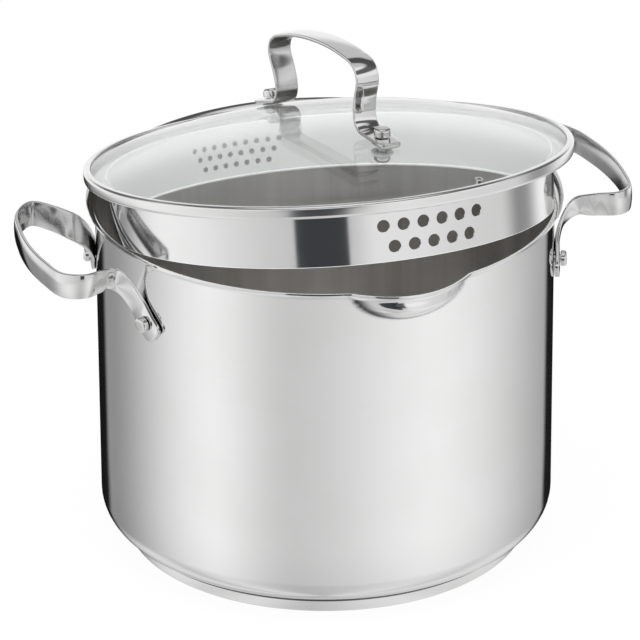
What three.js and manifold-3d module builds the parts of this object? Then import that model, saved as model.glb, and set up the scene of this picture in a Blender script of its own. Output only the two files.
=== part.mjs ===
// Steel cooking pot with a glass strainer lid, shown with the lid ajar.
// Millimetres, +Z up. The origin is the middle of the base's underside.
// +X runs through the right side handle, -Y through the front pouring spout.

import * as THREE from 'three';
import { mergeVertices } from 'three/addons/utils/BufferGeometryUtils.js';
import Module from 'manifold-3d';

const wasm = await Module();
wasm.setup();

// Pot
const POT_INNER_RADIUS = 120.4;
const POT_WALL = 0.8;
const RIM_HEIGHT = 192.8;
const CORNER_RADIUS = 15;
const LIP_BEND_RADIUS = 5;
const LIP_BEND_ANGLE = 80;
const LIP_EDGE = 0.8;

// Pouring spout at the front
const SPOUT_DIRECTION = -88.4;
const SPOUT_HALF_ANGLE = 15.3;
const SPOUT_DEPTH = 19;
const SPOUT_REACH = 10;

// Sandwich base
const BASE_HEIGHT = 8.6;
const BASE_CAP_WALL = 0.8;
const BASE_STEP = 11;
const BASE_CAP_TAPER = 2.4;
const BASE_CORE_EDGE = 1.2;

// Strap that all the handles are bent from
const SIDE_STRAP_WIDTH = 13.7;
const BOW_STRAP_WIDTH = 12.8;
const STRAP_THICKNESS = 3;
const STRAP_EDGE = 0.9;
const STRAP_TIP_SHARE = 0.72;

// Side handles: where the rivets sit, and one half of the loop from the foot's tip to the loop's middle, as
// [out from the foot's seat, along the wall, below the rim, lean of the upper edge in degrees]
const RIVET_ALONG = 46.5;
const RIVET_DROP = 36.8;
const LOOP_STATIONS = [
  [0, 53.2, 43, 58],
  [0, RIVET_ALONG, RIVET_DROP, 54],
  [0, 39.4, 29.2, 48],
  [3.4, 34.2, 20.8, 41],
  [10.4, 32.6, 14.3, 28],
  [20.3, 36.2, 11, 14],
  [31.9, 38.6, 9.2, 4],
  [39, 30.7, 10.5, 0],
  [39.9, 16.5, 10.7, 0],
  [40.2, 0, 10.8, 0],
];
const RIVET_SHANK_RADIUS = 2.3;
const RIVET_HEAD_RADIUS = 4.2;
const RIVET_HEAD_HEIGHT = 3.2;
const RIVET_TAIL_RADIUS = 4.5;
const RIVET_TAIL_HEIGHT = 1.6;

// Lid ring, skirt and glass, measured up from the ring's underside
const RING_OVERHANG = 2.57;
const RING_HEIGHT = 6.7;
const RING_SHEET = 1;
const RING_LIP = 3.7;
const RING_ROUNDING = 1.8;
const SKIRT_CLEARANCE = 3.4;
const SKIRT_SHEET = 0.8;
const SKIRT_HEIGHT = 27.8;
const GLASS_THICKNESS = 3.7;
const DOME_RADIUS = 375;

// Strainer holes: rows of [count, depth below the ring]
const LARGE_HOLE_DIAMETER = 6.6;
const LARGE_HOLE_PITCH = 10.72;
const LARGE_ROWS = [[6, 9.04], [5, 19.97]];
const SMALL_HOLE_DIAMETER = 3;
const SMALL_HOLE_PITCH = 6.42;
const SMALL_ROWS = [[9, 8.8], [8, 14.2], [7, 20]];

// Lid handle and its fixings, with one half of the bow as [inward from the knee, above it]
const SCREW_SPACING = 128.8;
const SCREW_SHANK_RADIUS = 2.4;
const SCREW_HEAD_RADIUS = 4.3;
const SCREW_HEAD_HEIGHT = 4.4;
const SCREW_REACH = 8.2;
const PAD_LENGTH = 10.6;
const KNEE_INSET = 8;
const BOW_RISE = 42;
const BOW_STATIONS = [
  [6, 1.2], [9.6, 4.6], [10.6, 10], [8.6, 17.8], [4.6, 27.8],
  [6.6, 33.4], [12, 36.8], [19.6, 38.6], [30, 40.4], [42.4, 41.6],
];
const GASKET_RADIUS = 5.5;
const GASKET_THICKNESS = 0.6;
const GLASS_HOLE_RADIUS = 3.6;
const WASHER_RADIUS = 6;
const WASHER_THICKNESS = 1.2;
const NUT_RADIUS = 4.2;
const NUT_HEIGHT = 4.6;

// Steam vent
const VENT_INSET = 4.8;
const VENT_ANGLE = 13.2;
const VENT_BORE_RADIUS = 0.9;
const VENT_TUBE_RADIUS = 1.4;
const VENT_FLANGE_RADIUS = 2.3;
const VENT_FLANGE = 0.5;

// Resting place of the lid: lifted towards the front spout, its skirt caught in the mouth of the pot
const LID_TILT = 12.17;
const LID_RAISED_TOWARDS = 266.34;
const LID_SHIFT = [-1.17, -10.33];
const SKIRT_DIP = 5.98;
const LID_TURN = 10.65;

// Fits
const SEAT_GAP = 0.3;
const HOLE_CLEARANCE = 0.3;

// Facets
const ROUND = 56;
const SMALL_ROUND = 12;
const SPOUT_COLUMNS = 12;

const POT_OUTER_RADIUS = POT_INNER_RADIUS + POT_WALL;
const FOOT_SEAT_RADIUS = POT_OUTER_RADIUS + SEAT_GAP + STRAP_THICKNESS / 2;
const RIVET_ANGLE = RIVET_ALONG / FOOT_SEAT_RADIUS;
const degrees = THREE.MathUtils.degToRad;

// Materials
const polished = { color: 0xd9dadb, roughness: 0.12, metalness: 1 };
const finishes = {
  potSteel: polished,
  capSteel: { color: 0xc9cacc, roughness: 0.3, metalness: 1 },
  core: { color: 0xb4b6b8, roughness: 0.5, metalness: 1 },
  handleSteel: { color: 0xdcdddd, roughness: 0.1, metalness: 1 },
  rivetSteel: { color: 0xcfd0d1, roughness: 0.25, metalness: 1 },
  ringSteel: { color: 0xe2e2e2, roughness: 0.18, metalness: 1 },
  glass: { color: 0xe4ebe8, roughness: 0.04, metalness: 0, transparent: true, opacity: 0.3 },
  silicone: { color: 0xb9bcbc, roughness: 0.6, metalness: 0 },
};

function piece(name, geometry, finish) {
  const mesh = new THREE.Mesh(geometry, new THREE.MeshStandardMaterial(finish));
  mesh.name = name;
  return mesh;
}

// Joins a geometry's shared vertices, drops flat triangles and points its faces outwards.
function weld(geometry) {
  geometry.deleteAttribute('normal');
  geometry.deleteAttribute('uv');
  const merged = mergeVertices(geometry);
  const corner = merged.index.array;
  const kept = [];
  for (let i = 0; i < corner.length; i += 3) {
    const [a, b, c] = [corner[i], corner[i + 1], corner[i + 2]];
    if (a !== b && b !== c && c !== a) kept.push(a, b, c);
  }
  if (volumeOf(merged.attributes.position, kept) < 0) kept.reverse();
  merged.setIndex(kept);
  return merged;
}

function volumeOf(position, corner) {
  const [a, b, c] = [new THREE.Vector3(), new THREE.Vector3(), new THREE.Vector3()];
  let sum = 0;
  for (let i = 0; i < corner.length; i += 3) {
    a.fromBufferAttribute(position, corner[i]);
    b.fromBufferAttribute(position, corner[i + 1]);
    c.fromBufferAttribute(position, corner[i + 2]);
    sum += a.dot(b.cross(c));
  }
  return sum / 6;
}

function toSolid(geometry) {
  return new wasm.Manifold(new wasm.Mesh({
    numProp: 3,
    vertProperties: new Float32Array(geometry.attributes.position.array),
    triVerts: new Uint32Array(geometry.index.array),
  }));
}

function toGeometry(solid) {
  const mesh = solid.getMesh();
  const geometry = new THREE.BufferGeometry();
  geometry.setAttribute('position', new THREE.BufferAttribute(mesh.vertProperties, 3));
  geometry.setIndex(new THREE.BufferAttribute(mesh.triVerts, 1));
  return geometry;
}

function cutAway(geometry, tools) {
  const cut = tools.reduce((solid, tool) => solid.subtract(toSolid(tool)), toSolid(geometry));
  return toGeometry(cut);
}

// A solid of revolution about +Z from a profile of [radius, height] points.
function revolve(profile, segments = ROUND) {
  const points = profile.map(([radius, height]) => new THREE.Vector2(radius, height));
  return weld(new THREE.LatheGeometry(points, segments).rotateX(Math.PI / 2));
}

// A ring of revolution: its profile closes on itself.
function revolveRing(profile, segments = ROUND) {
  return revolve([...profile, profile[0]], segments);
}

// Points of an arc in a profile, from one angle to another in degrees.
function arc([x, y], radius, from, to, steps) {
  const points = [];
  for (let i = 0; i <= steps; i += 1) {
    const angle = degrees(from + ((to - from) * i) / steps);
    points.push([x + radius * Math.cos(angle), y + radius * Math.sin(angle)]);
  }
  return points;
}

// A round drill along +X at a height, turned about +Z.
function radialDrill(radius, reach, angle, height, segments = SMALL_ROUND) {
  const drill = new THREE.CylinderGeometry(radius, radius, reach, segments).rotateZ(-Math.PI / 2);
  return weld(drill.translate(POT_OUTER_RADIUS, 0, height).rotateZ(angle));
}

// Closes a row of rings of points, capped at both ends.
function loft(rings) {
  const count = rings[0].length;
  const points = rings.flat();
  const corner = [];
  for (let ring = 0; ring + 1 < rings.length; ring += 1) {
    for (let i = 0; i < count; i += 1) {
      const [a, b] = [ring * count + i, ring * count + ((i + 1) % count)];
      corner.push(a, b, b + count, a, b + count, a + count);
    }
  }
  const last = (rings.length - 1) * count;
  for (let i = 1; i + 1 < count; i += 1) {
    corner.push(0, i + 1, i, last, last + i, last + i + 1);
  }
  const geometry = new THREE.BufferGeometry().setFromPoints(points);
  geometry.setIndex(corner);
  return weld(geometry);
}

// A strap bent along stations of { point, across }, with its corners chamfered and its tips narrowed.
function bendStrap(stations, width, ringCount) {
  const path = new THREE.CatmullRomCurve3(stations.map((station) => station.point));
  const lean = new THREE.CatmullRomCurve3(stations.map((station) => station.across));
  const [half, thin] = [width / 2, STRAP_THICKNESS / 2];
  const section = [
    [half - STRAP_EDGE, thin], [half, thin - STRAP_EDGE], [half, STRAP_EDGE - thin], [half - STRAP_EDGE, -thin],
    [STRAP_EDGE - half, -thin], [-half, STRAP_EDGE - thin], [-half, thin - STRAP_EDGE], [STRAP_EDGE - half, thin],
  ];
  const rings = [];
  for (let i = 0; i <= ringCount; i += 1) {
    const at = i / ringCount;
    const along = path.getTangent(at);
    const normal = new THREE.Vector3().crossVectors(lean.getPoint(at), along).normalize();
    const across = new THREE.Vector3().crossVectors(along, normal);
    const narrow = i === 0 || i === ringCount ? STRAP_TIP_SHARE : 1;
    rings.push(section.map(([wide, deep]) => path.getPoint(at)
      .addScaledVector(across, wide * narrow)
      .addScaledVector(normal, deep)));
  }
  return loft(rings);
}

// Pot

// How far a spout pushes the wall out at an angle and height: a shallow scoop under the lip.
function spoutBulge(angle, height) {
  const away = angle - degrees(SPOUT_DIRECTION);
  const sideways = Math.atan2(Math.sin(away), Math.cos(away)) / degrees(SPOUT_HALF_ANGLE);
  const down = (RIM_HEIGHT - height) / SPOUT_DEPTH;
  return SPOUT_REACH * Math.max(0, 1 - sideways ** 2 - down ** 2);
}

// One side of the drawn sheet, from the middle of the bottom to the lip's edge.
// inward is 0 for the outer face and the sheet's thickness for the inner one.
function sheetProfile(inward) {
  const radius = POT_OUTER_RADIUS - inward;
  const floor = BASE_HEIGHT + inward;
  const bend = LIP_BEND_RADIUS - POT_WALL / 2 + inward;
  const bendTop = LIP_BEND_RADIUS + POT_WALL / 2;
  const bendStart = RIM_HEIGHT - bendTop * Math.sin(degrees(LIP_BEND_ANGLE));
  const corner = CORNER_RADIUS - inward;
  const centre = [POT_OUTER_RADIUS + LIP_BEND_RADIUS - POT_WALL / 2, bendStart];
  const lip = arc(centre, bend, 180, 180 - LIP_BEND_ANGLE, 3);
  const [edgeX, edgeZ] = lip[lip.length - 1];
  const edge = degrees(90 - LIP_BEND_ANGLE);
  const spoutRows = [1, 0.8, 0.6, 0.4].map((share) => [radius, RIM_HEIGHT - SPOUT_DEPTH * share]);
  return [
    [0, floor],
    ...arc([POT_OUTER_RADIUS - CORNER_RADIUS, BASE_HEIGHT + CORNER_RADIUS], corner, -90, 0, 3),
    ...spoutRows,
    ...lip,
    [edgeX + LIP_EDGE * Math.cos(edge), edgeZ + LIP_EDGE * Math.sin(edge)],
  ];
}

function columnAngles() {
  const half = degrees(SPOUT_HALF_ANGLE);
  const start = degrees(SPOUT_DIRECTION) - half;
  const angles = [];
  for (let i = 0; i <= SPOUT_COLUMNS; i += 1) angles.push(start + (2 * half * i) / SPOUT_COLUMNS);
  const plain = 2 * Math.PI - 2 * half;
  const count = Math.ceil(plain / degrees(360 / ROUND));
  for (let i = 1; i < count; i += 1) angles.push(start + 2 * half + (plain * i) / count);
  return angles;
}

function makePotShell() {
  const profile = [...sheetProfile(0), ...sheetProfile(POT_WALL).reverse()];
  const angles = columnAngles();
  const rows = profile.length;
  const points = [];
  const corner = [];
  angles.forEach((angle, column) => {
    profile.forEach(([radius, height]) => {
      const reach = radius === 0 ? 0 : radius + spoutBulge(angle, height);
      points.push(new THREE.Vector3(reach * Math.cos(angle), reach * Math.sin(angle), height));
    });
    const next = (column + 1) % angles.length;
    for (let row = 0; row + 1 < rows; row += 1) {
      const [a, b] = [column * rows + row, next * rows + row];
      corner.push(a, b, b + 1, a, b + 1, a + 1);
    }
  });
  const geometry = new THREE.BufferGeometry().setFromPoints(points);
  geometry.setIndex(corner);
  const drills = [0, Math.PI].flatMap((side) => [-1, 1].map((end) => radialDrill(
    RIVET_SHANK_RADIUS + HOLE_CLEARANCE, 4 * RIVET_HEAD_HEIGHT, side + end * RIVET_ANGLE, RIM_HEIGHT - RIVET_DROP,
  )));
  return cutAway(weld(geometry), drills);
}

function makeBaseCap() {
  const top = BASE_HEIGHT - SEAT_GAP;
  const topRadius = POT_OUTER_RADIUS - BASE_STEP;
  const footRadius = topRadius - BASE_CAP_TAPER;
  const rounding = 2 * BASE_CAP_WALL;
  return revolve([
    [0, 0],
    ...arc([footRadius - rounding, rounding], rounding, -90, 0, 2),
    [topRadius, top],
    [topRadius - BASE_CAP_WALL, top],
    ...arc([footRadius - rounding, rounding], rounding - BASE_CAP_WALL, 0, -90, 1),
    [0, BASE_CAP_WALL],
  ]);
}

function makeBaseCore() {
  const topRadius = POT_OUTER_RADIUS - BASE_STEP - BASE_CAP_WALL - SEAT_GAP;
  const bottom = BASE_CAP_WALL + SEAT_GAP;
  const top = BASE_HEIGHT - SEAT_GAP;
  const footRadius = topRadius - BASE_CAP_TAPER - BASE_CORE_EDGE;
  return revolve([[0, bottom], [footRadius, bottom], [topRadius - BASE_CAP_TAPER, bottom + BASE_CORE_EDGE],
    [topRadius - SEAT_GAP, top], [0, top]]);
}

// Side handles

// A station of the handle's strap: how far out from the foot's seat, how far along the wall and below the
// rim its middle lies, and how far its upper edge leans along the wall, in degrees.
function wallStation(out, along, drop, lean) {
  const angle = along / FOOT_SEAT_RADIUS;
  const radius = FOOT_SEAT_RADIUS + out;
  const sign = Math.sign(along);
  const tilt = degrees(lean);
  return {
    point: new THREE.Vector3(radius * Math.cos(angle), radius * Math.sin(angle), RIM_HEIGHT - drop),
    across: new THREE.Vector3(
      -Math.sin(angle) * Math.sin(tilt) * sign, Math.cos(angle) * Math.sin(tilt) * sign, Math.cos(tilt),
    ),
  };
}

function makeSideHandle() {
  const half = LOOP_STATIONS.slice(0, -1);
  const stations = [
    ...LOOP_STATIONS.map(([out, along, drop, lean]) => wallStation(out, along, drop, lean)),
    ...half.map(([out, along, drop, lean]) => wallStation(out, -along, drop, lean)).reverse(),
  ];
  const drills = [-1, 1].map((end) => radialDrill(
    RIVET_SHANK_RADIUS + HOLE_CLEARANCE, 4 * RIVET_HEAD_HEIGHT, end * RIVET_ANGLE, RIM_HEIGHT - RIVET_DROP,
  ));
  return cutAway(bendStrap(stations, SIDE_STRAP_WIDTH, 42), drills);
}

// A rivet along +Z from the wall's outer face: button head outside, flat tail inside the pot.
function makeRivet() {
  const seat = SEAT_GAP + STRAP_THICKNESS + SEAT_GAP;
  const tail = -POT_WALL - SEAT_GAP;
  return revolve([
    [0, tail - RIVET_TAIL_HEIGHT],
    [RIVET_TAIL_RADIUS * 0.6, tail - RIVET_TAIL_HEIGHT],
    [RIVET_TAIL_RADIUS, tail - RIVET_TAIL_HEIGHT * 0.3],
    [RIVET_TAIL_RADIUS, tail],
    [RIVET_SHANK_RADIUS, tail],
    [RIVET_SHANK_RADIUS, seat],
    [RIVET_HEAD_RADIUS, seat],
    [RIVET_HEAD_RADIUS, seat + RIVET_HEAD_HEIGHT * 0.6],
    [RIVET_HEAD_RADIUS * 0.8, seat + RIVET_HEAD_HEIGHT],
    [0, seat + RIVET_HEAD_HEIGHT],
  ], SMALL_ROUND);
}

function makeSide(side, direction) {
  const group = new THREE.Group();
  group.rotation.z = direction;
  group.add(piece(`side_handle_${side}`, makeSideHandle(), finishes.handleSteel));
  const front = side === 'right' ? -1 : 1;
  [['front', front], ['rear', -front]].forEach(([end, sign]) => {
    const turn = new THREE.Group();
    turn.rotation.z = sign * RIVET_ANGLE;
    const rivet = piece(`rivet_${side}_${end}`, makeRivet(), finishes.rivetSteel);
    rivet.rotation.y = Math.PI / 2;
    rivet.position.set(POT_OUTER_RADIUS, 0, RIM_HEIGHT - RIVET_DROP);
    turn.add(rivet);
    group.add(turn);
  });
  return group;
}

// Lid, built about its own axis with the ring's underside at zero and the strainer facing +X

const bendRadians = degrees(LIP_BEND_ANGLE);
const LIP_RADIUS = POT_OUTER_RADIUS + LIP_BEND_RADIUS * (1 - Math.cos(bendRadians)) + LIP_EDGE;
const RING_RADIUS = LIP_RADIUS + RING_OVERHANG;
const SKIRT_RADIUS = POT_INNER_RADIUS - SKIRT_CLEARANCE;
const FLANGE_RADIUS = RING_RADIUS - RING_SHEET - 3 * SEAT_GAP;
const FLANGE_HEIGHT = RING_SHEET + SEAT_GAP;
const GLASS_FOOT = FLANGE_HEIGHT + SKIRT_SHEET + SEAT_GAP;
const GLASS_EDGE = RING_HEIGHT - RING_SHEET - SEAT_GAP;
const LIP_INNER_RADIUS = RING_RADIUS - RING_LIP;
const DOME_CENTRE = GLASS_EDGE - Math.sqrt(DOME_RADIUS ** 2 - LIP_INNER_RADIUS ** 2);

function makeLidRing() {
  const round = RING_ROUNDING;
  const outer = RING_RADIUS - round;
  return revolveRing([
    [SKIRT_RADIUS + HOLE_CLEARANCE, 0],
    ...arc([outer, round], round, -90, 0, 2),
    ...arc([outer, RING_HEIGHT - round], round, 0, 90, 2),
    [LIP_INNER_RADIUS, RING_HEIGHT - 0.4 * RING_SHEET],
    [LIP_INNER_RADIUS, RING_HEIGHT - RING_SHEET],
    [RING_RADIUS - RING_SHEET, RING_HEIGHT - RING_SHEET],
    [RING_RADIUS - RING_SHEET, RING_SHEET],
    [SKIRT_RADIUS + HOLE_CLEARANCE, RING_SHEET],
  ]);
}

// Drills for rows of holes centred on a direction round the skirt, each row [count, depth].
function strainerDrills(rows, diameter, pitch, direction, segments) {
  const step = pitch / SKIRT_RADIUS;
  return rows.flatMap(([count, depth]) => {
    const drills = [];
    for (let i = 0; i < count; i += 1) {
      const angle = direction + (i - (count - 1) / 2) * step;
      const drill = new THREE.CylinderGeometry(diameter / 2, diameter / 2, 6 * SKIRT_SHEET, segments);
      drill.rotateZ(-Math.PI / 2).translate(SKIRT_RADIUS, 0, -depth).rotateZ(angle);
      drills.push(weld(drill));
    }
    return drills;
  });
}

function makeStrainerSkirt() {
  const inner = SKIRT_RADIUS - SKIRT_SHEET;
  const skirt = revolveRing([
    [inner, -SKIRT_HEIGHT],
    [SKIRT_RADIUS, -SKIRT_HEIGHT],
    [SKIRT_RADIUS, FLANGE_HEIGHT],
    [FLANGE_RADIUS, FLANGE_HEIGHT],
    [FLANGE_RADIUS, FLANGE_HEIGHT + SKIRT_SHEET],
    [inner, FLANGE_HEIGHT + SKIRT_SHEET],
  ]);
  return cutAway(skirt, [
    ...strainerDrills(LARGE_ROWS, LARGE_HOLE_DIAMETER, LARGE_HOLE_PITCH, 0, 12),
    ...strainerDrills(SMALL_ROWS, SMALL_HOLE_DIAMETER, SMALL_HOLE_PITCH, Math.PI, 8),
  ]);
}

// Height of the dome's outer or inner face at a radius.
function domeHeight(radius, inward = 0) {
  return DOME_CENTRE + Math.sqrt((DOME_RADIUS - inward) ** 2 - radius ** 2);
}

// A group standing on the dome's outer face at a radius and direction, with +Z out of the glass.
function onDome(radius, direction) {
  const turn = new THREE.Group();
  const stand = new THREE.Group();
  turn.rotation.z = direction;
  stand.position.set(radius, 0, domeHeight(radius));
  stand.rotation.y = Math.asin(radius / DOME_RADIUS);
  turn.add(stand);
  return { turn, stand };
}

// A drill through the glass, square to it.
function domeDrill(holeRadius, radius, direction) {
  const drill = new THREE.CylinderGeometry(holeRadius, holeRadius, 4 * GLASS_THICKNESS, SMALL_ROUND);
  drill.rotateX(Math.PI / 2).rotateY(Math.asin(radius / DOME_RADIUS));
  drill.translate(radius, 0, domeHeight(radius)).rotateZ(direction);
  return weld(drill);
}

const VENT_RADIUS = LIP_INNER_RADIUS - VENT_INSET;

function makeLidGlass() {
  const innerRadius = DOME_RADIUS - GLASS_THICKNESS;
  const footReach = Math.sqrt(innerRadius ** 2 - (GLASS_FOOT - DOME_CENTRE) ** 2);
  const shares = [0, 0.18, 0.36, 0.52, 0.68, 0.84, 1];
  const outer = shares.map((share) => [share * LIP_INNER_RADIUS, domeHeight(share * LIP_INNER_RADIUS)]);
  const inner = shares.map((share) => [share * footReach, domeHeight(share * footReach, GLASS_THICKNESS)]);
  const glass = revolve([...outer, [FLANGE_RADIUS, GLASS_EDGE], [FLANGE_RADIUS, GLASS_FOOT], ...inner.reverse()]);
  return cutAway(glass, [
    domeDrill(GLASS_HOLE_RADIUS, SCREW_SPACING / 2, 0),
    domeDrill(GLASS_HOLE_RADIUS, SCREW_SPACING / 2, Math.PI),
    domeDrill(VENT_TUBE_RADIUS + HOLE_CLEARANCE, VENT_RADIUS, degrees(VENT_ANGLE)),
  ]);
}

// A hollow rivet through the glass, flanged on both faces.
function makeVentEyelet() {
  const top = SEAT_GAP;
  const bottom = -GLASS_THICKNESS - SEAT_GAP;
  return revolveRing([
    [VENT_BORE_RADIUS, bottom - VENT_FLANGE],
    [VENT_FLANGE_RADIUS, bottom - VENT_FLANGE],
    [VENT_FLANGE_RADIUS, bottom],
    [VENT_TUBE_RADIUS, bottom],
    [VENT_TUBE_RADIUS, top],
    [VENT_FLANGE_RADIUS, top],
    [VENT_FLANGE_RADIUS - VENT_FLANGE, top + VENT_FLANGE],
    [VENT_BORE_RADIUS, top + VENT_FLANGE],
  ], SMALL_ROUND);
}

const PAD_SEAT = SEAT_GAP + GASKET_THICKNESS + SEAT_GAP;

// The bow in the lid's upright plane: pads along the dome, legs that lean in and then out, a crowned top.
function makeLidHandle() {
  const screw = SCREW_SPACING / 2;
  const middle = PAD_SEAT + STRAP_THICKNESS / 2;
  const onPad = (radius) => {
    const lift = 1 + middle / DOME_RADIUS;
    return [radius * lift, DOME_CENTRE + (domeHeight(radius) - DOME_CENTRE) * lift];
  };
  const knee = screw - KNEE_INSET;
  const [, seat] = onPad(knee);
  const half = [
    onPad(screw + PAD_LENGTH),
    onPad(screw + PAD_LENGTH / 2),
    onPad(screw),
    onPad(knee),
    ...BOW_STATIONS.map(([inward, rise]) => [knee - inward, seat + rise]),
  ];
  const across = new THREE.Vector3(0, 1, 0);
  const station = ([x, z]) => ({ point: new THREE.Vector3(x, 0, z), across });
  const stations = [
    ...half.map(station),
    station([0, seat + BOW_RISE]),
    ...half.map(([x, z]) => station([-x, z])).reverse(),
  ];
  const hole = SCREW_SHANK_RADIUS + HOLE_CLEARANCE;
  return cutAway(bendStrap(stations, BOW_STRAP_WIDTH, 52), [
    domeDrill(hole, screw, 0),
    domeDrill(hole, screw, Math.PI),
  ]);
}

// A button-head screw through pad, gasket, glass, washer and nut.
function makeHandleScrew() {
  const seat = PAD_SEAT + STRAP_THICKNESS + SEAT_GAP;
  return revolve([
    [0, -SCREW_REACH],
    [SCREW_SHANK_RADIUS, -SCREW_REACH],
    [SCREW_SHANK_RADIUS, seat],
    [SCREW_HEAD_RADIUS, seat],
    [SCREW_HEAD_RADIUS, seat + SCREW_HEAD_HEIGHT * 0.35],
    [SCREW_HEAD_RADIUS * 0.8, seat + SCREW_HEAD_HEIGHT * 0.8],
    [SCREW_HEAD_RADIUS * 0.45, seat + SCREW_HEAD_HEIGHT],
    [0, seat + SCREW_HEAD_HEIGHT],
  ], SMALL_ROUND);
}

function makeWasher(outerRadius, bottom, thickness) {
  const bore = SCREW_SHANK_RADIUS + HOLE_CLEARANCE;
  return revolveRing([
    [bore, bottom], [outerRadius, bottom], [outerRadius, bottom + thickness], [bore, bottom + thickness],
  ], SMALL_ROUND);
}

const WASHER_TOP = -GLASS_THICKNESS - SEAT_GAP;
const NUT_TOP = WASHER_TOP - WASHER_THICKNESS - SEAT_GAP;

// A domed cap nut with a blind hole for the screw's end.
function makeHandleNut() {
  const bore = SCREW_SHANK_RADIUS + HOLE_CLEARANCE;
  const bottom = NUT_TOP - NUT_HEIGHT;
  return revolve([
    [0, bottom],
    [NUT_RADIUS * 0.55, bottom + NUT_HEIGHT * 0.08],
    [NUT_RADIUS * 0.85, bottom + NUT_HEIGHT * 0.35],
    [NUT_RADIUS, bottom + NUT_HEIGHT * 0.5],
    [NUT_RADIUS, NUT_TOP],
    [bore, NUT_TOP],
    [bore, -SCREW_REACH - HOLE_CLEARANCE],
    [0, -SCREW_REACH - HOLE_CLEARANCE],
  ], SMALL_ROUND);
}

function makeFixing(end, direction) {
  const { turn, stand } = onDome(SCREW_SPACING / 2, direction);
  stand.add(piece(`handle_screw_${end}`, makeHandleScrew(), finishes.rivetSteel));
  stand.add(piece(`pad_gasket_${end}`, makeWasher(GASKET_RADIUS, SEAT_GAP, GASKET_THICKNESS), finishes.silicone));
  const washer = makeWasher(WASHER_RADIUS, WASHER_TOP - WASHER_THICKNESS, WASHER_THICKNESS);
  stand.add(piece(`glass_washer_${end}`, washer, finishes.silicone));
  stand.add(piece(`handle_nut_${end}`, makeHandleNut(), finishes.rivetSteel));
  return turn;
}

function makeLid() {
  const place = new THREE.Group();
  const tilt = new THREE.Group();
  const turn = new THREE.Group();
  const rise = SKIRT_HEIGHT * Math.cos(degrees(LID_TILT)) - SKIRT_DIP;
  place.position.set(LID_SHIFT[0], LID_SHIFT[1], RIM_HEIGHT + rise);
  place.rotation.z = degrees(LID_RAISED_TOWARDS);
  tilt.rotation.y = -degrees(LID_TILT);
  turn.rotation.z = degrees(LID_TURN);
  place.add(tilt);
  tilt.add(turn);

  tilt.add(piece('lid_ring', makeLidRing(), finishes.ringSteel));
  turn.add(piece('strainer_skirt', makeStrainerSkirt(), finishes.potSteel));
  turn.add(piece('lid_glass', makeLidGlass(), finishes.glass));
  turn.add(piece('lid_handle', makeLidHandle(), finishes.handleSteel));
  turn.add(makeFixing('near', 0));
  turn.add(makeFixing('far', Math.PI));
  const vent = onDome(VENT_RADIUS, degrees(VENT_ANGLE));
  vent.stand.add(piece('vent_eyelet', makeVentEyelet(), finishes.rivetSteel));
  turn.add(vent.turn);
  return place;
}

const pot = new THREE.Group();
pot.add(piece('pot_shell', makePotShell(), finishes.potSteel));
pot.add(piece('base_cap', makeBaseCap(), finishes.capSteel));
pot.add(piece('base_core', makeBaseCore(), finishes.core));
pot.add(makeSide('right', 0));
pot.add(makeSide('left', Math.PI));
pot.add(makeLid());

export default pot;
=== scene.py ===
# %% [markdown]
# # A steel cooking pot with a glass strainer lid
# The solids of the pot come from its CAD model and are loaded as a fixed frame. They are faceted, which a
# mirror finish would show at once. So each visible piece is modelled again here with finer, rounder surfaces,
# in the same place and at the same size, and every piece gets a finish of its own.

# %% Load the fixed frame
import math

import bpy
from mathutils import Matrix, Vector


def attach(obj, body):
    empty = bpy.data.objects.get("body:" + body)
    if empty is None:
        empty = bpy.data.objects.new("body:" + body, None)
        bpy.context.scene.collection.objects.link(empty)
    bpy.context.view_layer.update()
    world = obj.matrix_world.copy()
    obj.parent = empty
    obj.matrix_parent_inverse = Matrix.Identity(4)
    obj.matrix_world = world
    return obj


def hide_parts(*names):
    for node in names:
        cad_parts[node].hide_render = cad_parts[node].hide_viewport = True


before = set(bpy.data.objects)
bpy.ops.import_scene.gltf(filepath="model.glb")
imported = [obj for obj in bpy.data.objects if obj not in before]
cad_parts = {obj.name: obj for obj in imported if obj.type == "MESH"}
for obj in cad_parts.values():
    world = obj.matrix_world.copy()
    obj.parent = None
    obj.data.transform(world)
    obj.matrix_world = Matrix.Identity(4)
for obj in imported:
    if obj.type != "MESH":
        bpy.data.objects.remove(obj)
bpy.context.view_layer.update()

MM = 0.001

# %% [markdown]
# ## Camera
# The pot is seen from above its rim, from far away through a long lens, so that its upright sides stay nearly
# parallel. The place and the lens were worked out from the rim, the foot and the wall, and the camera rolls by a
# third of a degree. A camera looks along its own -Z, so its matrix is put together from three directions.

# %% Place the camera
EYE = Vector((-903.6, -2529.2, 1412.5)) * MM
AIM = Vector((-2.675, 0.953, 118.19)) * MM
ROLL = math.radians(0.32)

look = (AIM - EYE).normalized()
level = look.cross(Vector((0, 0, 1))).normalized()
upright = level.cross(look)
right = level * math.cos(ROLL) - upright * math.sin(ROLL)
up = level * math.sin(ROLL) + upright * math.cos(ROLL)

lens = bpy.data.cameras.new("camera")
lens.lens, lens.sensor_width = 314.8, 36
lens.clip_start, lens.clip_end = 0.1, 20
camera = bpy.data.objects.new("camera", lens)
camera.matrix_world = Matrix((
    (right.x, up.x, -look.x, EYE.x),
    (right.y, up.y, -look.y, EYE.y),
    (right.z, up.z, -look.z, EYE.z),
    (0, 0, 0, 1),
))
bpy.context.scene.collection.objects.link(camera)
bpy.context.scene.camera = camera
bpy.context.scene.view_settings.view_transform = "Standard"
print("camera at", [round(value, 3) for value in EYE])

# %% [markdown]
# ## Where the lid lies
# The lid lies ajar: it is lifted towards the spout, with the back of its skirt caught in the mouth of the pot. All
# of its pieces are modelled about the lid's own axis and then put in this leaning place, and its finishes run
# round that axis too. So the place is worked out once, here, as a matrix.

# %% Work out the lid's place
LID_TILT, LID_RAISED_TOWARDS, LID_TURN = 12.17, 266.34, 10.65
LID_CENTRE = (-1.17, -10.33, 213.995)


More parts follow.
